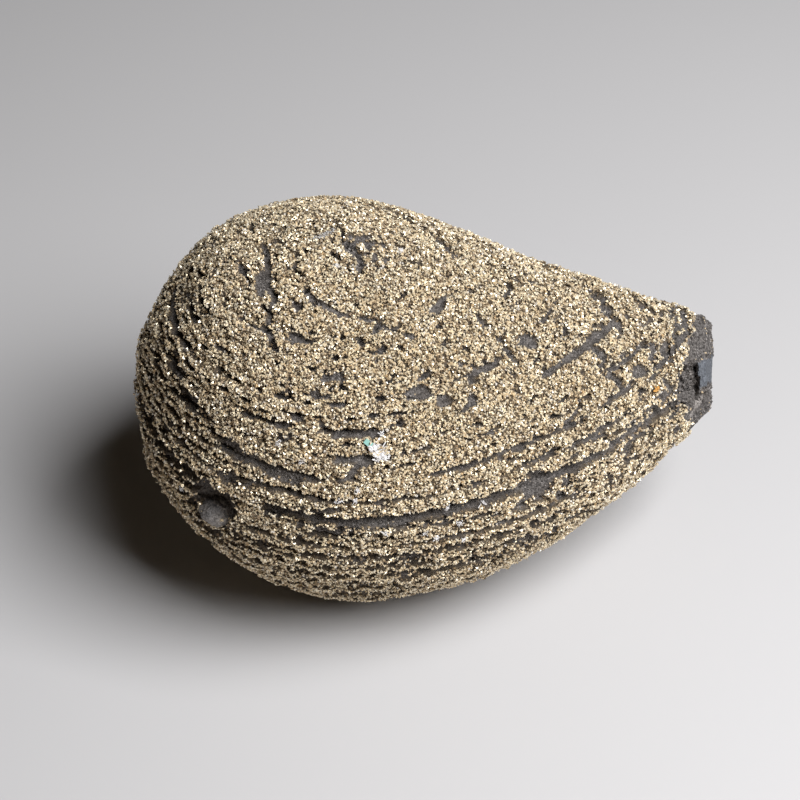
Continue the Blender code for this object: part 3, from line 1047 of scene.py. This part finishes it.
def grit_materials(colours):
    """Finishes of the shale's grains, and of the few pyrite crystals among them."""
    kinds = (
        ("grit", colours.shale),
        ("grit_dark", colours.shale_dark),
        ("grit_pale", colours.grit_pale),
        ("grit_pyrite", colours.dull),
    )
    return dull_materials(kinds, 0.85)


def lint_materials(colours):
    """Finishes of the specks, the chip's teal end, the streak and the orange grain."""
    kinds = (
        ("lint_white", colours.lint_white),
        ("lint_teal", colours.lint_teal),
        ("lint_grey", colours.lint_grey),
        ("orange_grain", colours.orange),
    )
    return dull_materials(kinds, 0.8)


def rock_piece(name, points, attributes, material, smooth):
    """A closed rock surface from a grid of points, given the attributes that its material reads."""
    rows, columns = points.shape[:2]
    corners, sides = grid_faces(rows, columns)
    piece = add_mesh(name, close_poles(points), corners, sides, smooth=smooth)
    for key in ("crust", "blue", "pale"):
        values = attributes.get(key, np.zeros((rows, columns)))
        attribute = piece.data.attributes.new(key, "FLOAT", "POINT")
        attribute.data.foreach_set("value", close_poles(values).astype(np.float32))
    piece.data.materials.append(material)
    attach(piece, "root")
    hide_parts("concretion")


def random_turns(random, out, spread):
    """Matrices whose rows are the axes of crystals that point outwards, each turned about its own axis and
    leaning to a random side, the more the greater its spread."""
    up = out + spread[:, None] * random.normal(size=out.shape)
    up /= np.linalg.norm(up, axis=1, keepdims=True)
    along = np.cross(up, random.normal(size=out.shape))
    along /= np.linalg.norm(along, axis=1, keepdims=True)
    return np.stack([along, np.cross(up, along), up], axis=1)


def crystal_shapes(random, middles, turns, sizes, corners_share):
    """Points, corners and the crystal that each triangle belongs to, for crystals of two shapes that are a
    little longer one way than another."""
    stretch = random.uniform(*STRETCH, (len(middles), 3)) * sizes[:, None]
    cubic = random.uniform(size=len(middles)) < corners_share
    points, corners, owners = [], [], []
    before = 0
    for chosen, shape, faces in (
        (cubic, np.array(CORNER_POINTS, float), np.array(CORNER_FACES)),
        (~cubic, np.array(PYRAMID_POINTS, float), np.array(PYRAMID_FACES)),
    ):
        count = int(chosen.sum())
        local = shape[None] * stretch[chosen][:, None, :]
        points.append((local @ turns[chosen] + middles[chosen][:, None, :]).reshape(-1, 3))
        first = before + np.arange(count)[:, None, None] * len(shape)
        corners.append((first + faces[None]).ravel())
        owners.append(np.repeat(np.flatnonzero(chosen), len(faces)))
        before += count * len(shape)
    return np.concatenate(points), np.concatenate(corners), np.concatenate(owners)


def strewn_piece(name, materials, finish, shapes):
    """A piece made of many small closed shapes, with a finish for each."""
    points, corners, owners = shapes
    piece = add_mesh(name, points, corners, np.full(len(owners), 3), finish[owners])
    for material in materials:
        piece.data.materials.append(material)
    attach(piece, "root")
    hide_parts("concretion")


def scatter(grid, random, count):
    """Spots spread evenly over the lump: a face of the grid by its share of the area, then a place in it
    between its four corners."""
    points = grid.points
    after = np.roll(points, -1, axis=1)
    across = after[:-1] - points[:-1]
    upward = points[1:] - points[:-1]
    area = np.linalg.norm(np.cross(across, upward), axis=-1)
    total = np.cumsum(area.ravel())
    chosen = np.searchsorted(total, random.uniform(0, total[-1], count))
    row, column = np.divmod(chosen, points.shape[1])
    beside = (column + 1) % points.shape[1]
    u, v = random.uniform(size=(2, count))

    def between(values):
        u_, v_ = (u[:, None], v[:, None]) if values.ndim == 3 else (u, v)
        low = values[row, column] * (1 - u_) + values[row, beside] * u_
        high = values[row + 1, column] * (1 - u_) + values[row + 1, beside] * u_
        return low * (1 - v_) + high * v_

    return Spots(between(points), between(grid.out), between(grid.level), between(grid.ended))


def thinned(points, spacing):
    """The first point in each small cube of space, so that they lie about evenly."""
    cell = np.floor(points / spacing).astype(np.int64)
    cells_a_side = 4096
    key = (cell[:, 0] * cells_a_side + cell[:, 1]) * cells_a_side + cell[:, 2]
    _, first = np.unique(key, return_index=True)
    return np.sort(first)


def length_property(name, description, default):
    return bpy.props.FloatProperty(name=name, description=description, default=default, unit="LENGTH")


def share_property(name, description, default):
    return bpy.props.FloatProperty(name=name, description=description, default=default, subtype="FACTOR")


def power_property(name, description, default):
    return bpy.props.FloatProperty(name=name, description=description, default=default, unit="POWER")


def place_property(name, description, default):
    return bpy.props.FloatVectorProperty(
        name=name, description=description, default=default, size=3, subtype="TRANSLATION"
    )


def colour_property(name, description, default):
    return bpy.props.FloatVectorProperty(
        name=name, description=description, default=default, size=3, min=0.0, max=1.0, subtype="COLOR"
    )


class CrustSizes(bpy.types.PropertyGroup):
    patches: share_property("Bare patches", "Share of the surface in bare patches", 0.065)
    holes: share_property("Holes", "Share of the surface in small holes", 0.25)
    hole_depth: length_property("Hole depth", "Holes below the bare shale", 0.00090)
    depth: length_property("Shale depth", "Bare shale below the smooth lump", 0.00085)
    top: length_property("Crust top", "Crust's top above the smooth lump", -0.00020)
    lump_size: length_property("Lump size", "Spacing of the crust's round lumps", 0.0011)
    lump_height: length_property("Lump height", "Height of the lumps over their creases", 0.00082)


class CrystalSizes(bpy.types.PropertyGroup):
    small: length_property("Small crystal", "Half its width", 0.00014)
    large: length_property("Large crystal", "Half its width", 0.00026)
    spacing: length_property("Spacing", "Side of the cube that holds one crystal", 0.00033)
    corners: share_property("Cube corners", "Share of crystals that are cubes", 0.55)
    crease: share_property("Crease", "Share of a lump's height below which no crystal stands", 0.16)
    most: bpy.props.IntProperty(name="Most", description="Most crystals in all", default=126000)
    grit: length_property("Shale grain", "Half the width of the shale's grains", 0.00018)
    grit_spacing: length_property("Grain spacing", "Side of the cube that holds one grain", 0.00044)
    most_grit: bpy.props.IntProperty(name="Most grains", description="Most grains in all", default=34000)


class LintSizes(bpy.types.PropertyGroup):
    chip_width: length_property("Chip width", "Across the teal and white chip", 0.00085)
    flake: length_property("Flake", "Half the length of a speck's flakes", 0.00012)


class ConcretionColours(bpy.types.PropertyGroup):
    shale: colour_property("Shale", "Bare shale", (0.215, 0.197, 0.187))
    shale_dark: colour_property("Dark shale", "Darkest grain of the shale", (0.048, 0.042, 0.039))
    shale_brown: colour_property("Brown shale", "Clouds in the shale", (0.115, 0.096, 0.082))
    shale_blue: colour_property("Blue shale", "Smooth plate on the break", (0.192, 0.207, 0.235))
    shale_blue_dark: colour_property("Dark blue shale", "Its darker grain", (0.084, 0.093, 0.110))
    shale_pale: colour_property("Pale shale", "Dusty ridges", (0.440, 0.405, 0.380))
    # The crust's ground colours are painted shade: pyrite darkened to stand for the shade between the
    # crystals.
    shaded_ground: colour_property("Crust ground", "Pyrite between the crystals", (0.26, 0.20, 0.13))
    darkest_shaded_ground: colour_property("Dark ground", "Darkest pyrite between the crystals", (0.07, 0.051, 0.035))
    bright: colour_property("Bright", "Brightest crystals", (0.96, 0.86, 0.67))
    brass: colour_property("Brass", "Common crystals", (0.86, 0.73, 0.51))
    dull: colour_property("Dull", "Duller crystals", (0.62, 0.49, 0.32))
    # Tarnished crystals are partly real tarnish and partly painted shade, on crystals in the creases.
    tarnish_and_shade: colour_property("Tarnished", "Dark crystals", (0.28, 0.205, 0.130))
    rusty: colour_property("Rusty", "Rust-stained crystals", (0.55, 0.39, 0.21))
    dusty: colour_property("Dusty", "Crystals under pale dust", (0.78, 0.73, 0.66))
    grit_pale: colour_property("Pale grit", "Palest grains of the shale", (0.285, 0.262, 0.248))
    lint_white: colour_property("White lint", "Specks and the chip's white end", (0.80, 0.79, 0.80))
    lint_teal: colour_property("Teal lint", "The chip's teal end", (0.27, 0.52, 0.47))
    lint_grey: colour_property("Grey lint", "The pale streak", (0.50, 0.49, 0.48))
    orange: colour_property("Orange grain", "One stained grain by the neck", (0.62, 0.33, 0.09))


class StageSettings(bpy.types.PropertyGroup):
    floor: colour_property("Floor", "The plain floor", (0.585, 0.579, 0.589))
    floor_size: length_property("Floor size", "Side", 3.0)
    light_place: place_property("Light place", "Middle of the soft light", (0.228, -0.142, 0.400))
    light_size: length_property("Light size", "Side", 0.305)
    light_power: power_property("Light power", "Of the soft light", 3.62)
    fill_place: place_property("Fill place", "Middle of the low fill light", (-0.13, -0.40, 0.032))
    fill_size: length_property("Fill size", "Side", 0.08)
    fill_power: power_property("Fill power", "Of the low fill light", 0.13)
    fill_colour: colour_property("Fill colour", "Of the low fill light", (1.0, 0.82, 0.64))
    world: colour_property("World", "Dim light from all round", (0.011, 0.008, 0.005))
    camera_distance: length_property("Camera distance", "From its target", 0.328)
    camera_elevation: bpy.props.FloatProperty(
        name="Camera elevation", description="Above the horizon", default=math.radians(42), subtype="ANGLE"
    )
    camera_target: place_property("Camera target", "What it looks at", (-0.0045, 0.0, 0.0283))
    camera_lens: bpy.props.FloatProperty(name="Lens", description="In millimetres, on 36", default=100.0)


def look_at(thing, target):
    thing.rotation_euler = (Vector(target) - thing.location).to_track_quat("-Z", "Y").to_euler()


class CONCRETION_OT_stage(bpy.types.Operator):
    """A plain pale floor, a large soft light, a dim low fill light, a dim world and the camera."""

    bl_idname = "concretion.stage"
    bl_label = "Stage"

    def execute(self, context):
        scene = context.scene
        settings = scene.concretion_stage
        half = settings.floor_size / 2
        corners = np.array([(-half, -half, 0), (half, -half, 0), (half, half, 0), (-half, half, 0)])
        floor = add_mesh("floor", corners, np.arange(4), np.array([4]))
        graph = Graph("floor")
        floor.data.materials.append(graph.finish(base_color=plain(settings.floor), roughness=0.75))
        for name, place, size, power, colour in (
            ("soft_light", settings.light_place, settings.light_size, settings.light_power, (1.0, 1.0, 1.0)),
            ("low_fill", settings.fill_place, settings.fill_size, settings.fill_power, settings.fill_colour),
        ):
            light = bpy.data.objects.new(name, bpy.data.lights.new(name, "AREA"))
            scene.collection.objects.link(light)
            light.data.shape = "SQUARE"
            light.data.size = size
            light.data.energy = power
            light.data.color = colour
            light.location = place
            look_at(light, settings.camera_target)
        world = bpy.data.worlds.new("studio")
        scene.world = world
        world.use_nodes = True
        world.node_tree.nodes["Background"].inputs["Color"].default_value = plain(settings.world)
        camera = bpy.data.objects.new("camera", bpy.data.cameras.new("camera"))
        scene.collection.objects.link(camera)
        camera.data.lens = settings.camera_lens
        camera.data.sensor_width = 36.0
        camera.data.clip_start = 0.01
        rise = settings.camera_elevation
        back = Vector((0.0, -math.cos(rise), math.sin(rise)))
        camera.location = Vector(settings.camera_target) + back * settings.camera_distance
        look_at(camera, settings.camera_target)
        scene.camera = camera
        scene.view_settings.view_transform = "Standard"
        return {"FINISHED"}


class CONCRETION_OT_body(bpy.types.Operator):
    """The shale lump with its beds, grooves, bare patches and pit, the crust's ground, painted dark as shade
    between the crystals, and the nodule.
    """

    bl_idname = "concretion.body"
    bl_label = "Shale body"

    def execute(self, context):
        grid = lump_grid()
        crust = Crust(context.scene.concretion_crust, grid)
        spots = grid.flat()
        share = crust.share(spots, shrunk=GROUND_SHRUNK)
        moved = crust.move(spots, share, lowered=GROUND_LOWERED) + crust.shift
        # Where the crystals stand, the body takes the crust's ground colour, which is painted shade between
        # them.
        shaded_ground = ease((share - LEAST_SHARE) / (1 - LEAST_SHARE))
        material = rock_material(context.scene.concretion_colours)
        attributes = {"crust": shaded_ground.reshape(grid.level.shape)}
        rock_piece("shale_body", moved.reshape(grid.points.shape), attributes, material, smooth=True)
        nodule = nodule_grid()
        dust = ease(0.5 + 0.5 * turned_noise(nodule, DUST_SIZE, SEED + 41))
        attributes = {"blue": np.full(dust.shape, NODULE_BLUE), "pale": DUST_LEAST + (1 - DUST_LEAST) * dust}
        rock_piece("nodule", nodule + crust.shift, attributes, material, smooth=False)
        return {"FINISHED"}


class CONCRETION_OT_stub(bpy.types.Operator):
    """The bare stub and its break, with a recess, a smooth plate, a trench and a chunk with a pale ridge."""

    bl_idname = "concretion.stub"
    bl_label = "Broken stub"

    def execute(self, context):
        points, plate = stub_grid()
        shift = frame_shift(lump_grid())
        attributes = {"blue": plate, "pale": stub_ridge(points)}
        material = rock_material(context.scene.concretion_colours)
        rock_piece("broken_stub", points + shift, attributes, material, smooth=False)
        return {"FINISHED"}


class CONCRETION_OT_crystals(bpy.types.Operator):
    """The crust's pyrite crystals, scattered over it and sunk into its ground, in five pieces along X."""

    bl_idname = "concretion.crystals"
    bl_label = "Pyrite crystals"

    def execute(self, context):
        sizes = context.scene.concretion_crystals
        random = np.random.default_rng(SEED)
        grid = lump_grid()
        crust = Crust(context.scene.concretion_crust, grid)
        spots = scatter(grid, random, CRYSTAL_SPOTS)
        share = crust.share(spots)
        lumps = crust.lumps(spots.points)
        kept = np.flatnonzero((share > LEAST_SHARE) & (lumps > sizes.crease))
        kept = np.concatenate([kept] + [kept[share[kept] < WALL_SHARE]] * WALL_COPIES)
        spots, share, lumps = spots.only(kept), share[kept], lumps[kept]
        wall = share < WALL_SHARE
        height = np.where(wall, share * np.sqrt(random.uniform(size=len(share))), share)
        middles = crust.move(spots, height) + crust.shift
        chosen = thinned(middles, sizes.spacing)
        chosen = random.permutation(chosen)[: sizes.most]
        middles, out, height, wall = middles[chosen], spots.out[chosen], height[chosen], wall[chosen]
        lumps = lumps[chosen]
        count = len(middles)
        reach = sizes.small + (sizes.large - sizes.small) * random.uniform(size=count) ** REACH_POWER
        turns = random_turns(random, out, np.where(wall, WALL_LEAN, CRYSTAL_LEAN))
        finish = random.choice(len(CRYSTAL_SHARES), count, p=CRYSTAL_SHARES)
        # Crystals in the creases and low on the walls take the darker finishes: painted shade.
        sunk = (lumps < SUNK_LUMP) | (height < SUNK_HEIGHT)
        finish = np.where(sunk & (finish < 2), finish + 2, finish)
        above = middles[:, 2] > CRYSTAL_CLEARANCE * reach
        materials = crystal_materials(context.scene.concretion_colours)
        for name, low, high in PARTS:
            mine = above & (middles[:, 0] >= low) & (middles[:, 0] < high)
            shapes = crystal_shapes(random, middles[mine], turns[mine], reach[mine], sizes.corners)
            strewn_piece(name, materials, finish[mine], shapes)
        return {"FINISHED"}


class CONCRETION_OT_grit(bpy.types.Operator):
    """The coarse grain of the bare shale: small shale grains with a few pyrite crystals among them."""

    bl_idname = "concretion.grit"
    bl_label = "Shale grit"

    def execute(self, context):
        sizes = context.scene.concretion_crystals
        random = np.random.default_rng(SEED + 1)
        grid = lump_grid()
        crust = Crust(context.scene.concretion_crust, grid)
        spots = scatter(grid, random, GRIT_SPOTS)
        share = crust.share(spots)
        bare = (share < LEAST_SHARE) & (spots.ended < 0.5) & (beyond_crust(spots.points) < 0)
        spots, share = spots.only(bare), share[bare]
        middles, out = crust.move(spots, share) + crust.shift, spots.out
        stub, _ = stub_grid()
        up, round_it = np.gradient(stub, axis=0), np.roll(stub, -1, axis=1) - np.roll(stub, 1, axis=1)
        facing = np.cross(round_it, up)[1:-1]
        nothing = np.zeros(facing.shape[:2])
        rock = scatter(Spots(stub[1:-1], facing, nothing, nothing), random, BREAK_SPOTS)
        kept = random.uniform(size=BREAK_SPOTS) < BREAK_SHARE
        rock = rock.only((beyond_crust(rock.points) > 0) & kept)
        _, plate = stub_relief(rock.points)
        rock = rock.only(plate < 0.5)
        middles = np.concatenate([middles, rock.points + crust.shift])
        out = np.concatenate([out, rock.out])
        chosen = thinned(middles, sizes.grit_spacing)
        clear = middles[chosen, 2] > GRAIN_CLEARANCE * sizes.grit
        chosen = random.permutation(chosen[clear])[: sizes.most_grit]
        count = len(chosen)
        reach = sizes.grit * random.uniform(*GRAIN_REACH, count)
        turns = random_turns(random, out[chosen], np.full(count, GRAIN_LEAN))
        finish = random.choice(len(GRIT_SHARES), count, p=GRIT_SHARES)
        shapes = crystal_shapes(random, middles[chosen], turns, reach, GRAIN_CORNERS)
        materials = grit_materials(context.scene.concretion_colours)
        strewn_piece("shale_grit", materials, finish, shapes)
        return {"FINISHED"}


def lint_boxes(random, settings, spots, middles):
    """Middles, axes as half lengths along each, and finishes of every small box of lint."""
    made = []

    def nearest(place):
        index = int(np.argmin(np.linalg.norm(middles - np.array(place), axis=1)))
        return middles[index], spots.out[index]

    def flakes(place, count, spread, size, finish, longer=1.0):
        middle, out = nearest(place)
        for _ in range(count):
            offset = random.normal(size=3) * spread
            offset += out * (FLAKE_LIFT + 0.5 * settings.flake - offset @ out)
            turn = random_turns(random, out[None], np.array([FLAKE_LEAN]))[0]
            half = size * random.uniform(0.5, 1.0) * np.array([longer, *FLAKE_SHAPE])
            made.append((middle + offset, half[:, None] * turn, finish))

    teal, out = nearest(CHIP_TEAL_END)
    white, _ = nearest(CHIP_WHITE_END)
    way = white - teal
    length = np.linalg.norm(way)
    way /= length
    side = np.cross(out, way)
    side /= np.linalg.norm(side)
    lift = np.cross(way, side)
    axes = np.array([way, side, lift])
    width, thickness = settings.chip_width / TEAL_WIDTH_PARTS, settings.chip_width / TEAL_THICKNESS_PARTS
    half = np.array([TEAL_SHARE * length, width, thickness])
    made.append((teal + TEAL_SHARE * way * length + TEAL_LIFT * lift, half[:, None] * axes, 1))
    for share, count, spread in CHIP_FLAKES:
        flakes(teal + share * way * length, count, spread, 2 * settings.flake, 0)
    flakes(CHIP_WHITE_END, 40, END_SPREAD, 1.2 * settings.flake, 0, longer=5.0)
    for place in SPECKS:
        flakes(place, 12, FLAKE_SPREAD, settings.flake, 0)
        flakes(place, 5, FIBRE_SPREAD, 0.8 * settings.flake, 0, longer=4.0)
    start, end = np.array(STREAK_ENDS)
    for share in np.linspace(0, 1, 22):
        flakes(start + share * (end - start), 5, FLAKE_SPREAD, settings.flake, 2)
    flakes(ORANGE_GRAIN, 9, FLAKE_SPREAD, 2.2 * settings.flake, 3)
    return made


class CONCRETION_OT_lint(bpy.types.Operator):
    """Caught lint: a teal and white chip, white specks, a pale streak by the summit and an orange grain."""

    bl_idname = "concretion.lint"
    bl_label = "Lint"

    def execute(self, context):
        random = np.random.default_rng(SEED + 2)
        grid = lump_grid()
        crust = Crust(context.scene.concretion_crust, grid)
        spots = scatter(grid, random, LINT_SPOTS)
        middles = crust.move(spots, np.ones(LINT_SPOTS)) + crust.shift
        boxes = lint_boxes(random, context.scene.concretion_lint, spots, middles)
        points = np.concatenate([middle + BOX_POINTS @ axes for middle, axes, finish in boxes])
        first = np.arange(len(boxes))[:, None, None] * len(BOX_POINTS)
        owners = np.repeat(np.arange(len(boxes)), len(BOX_FACES))
        finish = np.array([finish for middle, axes, finish in boxes])
        materials = lint_materials(context.scene.concretion_colours)
        strewn_piece("lint", materials, finish, (points, (first + BOX_FACES).ravel(), owners))
        return {"FINISHED"}


class CONCRETION_PT_panel(bpy.types.Panel):
    """The steps of the build, in order."""

    bl_label = "Concretion"
    bl_idname = "CONCRETION_PT_panel"
    bl_space_type = "VIEW_3D"
    bl_region_type = "UI"
    bl_category = "Concretion"

    def draw(self, context):
        for operator in OPERATORS:
            self.layout.operator(operator.bl_idname)


OPERATORS = (
    CONCRETION_OT_stage,
    CONCRETION_OT_body,
    CONCRETION_OT_stub,
    CONCRETION_OT_crystals,
    CONCRETION_OT_grit,
    CONCRETION_OT_lint,
)
SETTINGS = {
    "concretion_crust": CrustSizes,
    "concretion_crystals": CrystalSizes,
    "concretion_lint": LintSizes,
    "concretion_colours": ConcretionColours,
    "concretion_stage": StageSettings,
}


def register():
    for group in (*SETTINGS.values(), *OPERATORS, CONCRETION_PT_panel):
        bpy.utils.register_class(group)
    for name, group in SETTINGS.items():
        setattr(bpy.types.Scene, name, bpy.props.PointerProperty(type=group))


def unregister():
    for name in SETTINGS:
        delattr(bpy.types.Scene, name)
    for group in (CONCRETION_PT_panel, *OPERATORS, *SETTINGS.values()):
        bpy.utils.unregister_class(group)


def main():
    register()
    bpy.ops.concretion.stage()
    bpy.ops.concretion.body()
    bpy.ops.concretion.stub()
    bpy.ops.concretion.crystals()
    bpy.ops.concretion.grit()
    bpy.ops.concretion.lint()


if __name__ == "__main__":
    main()
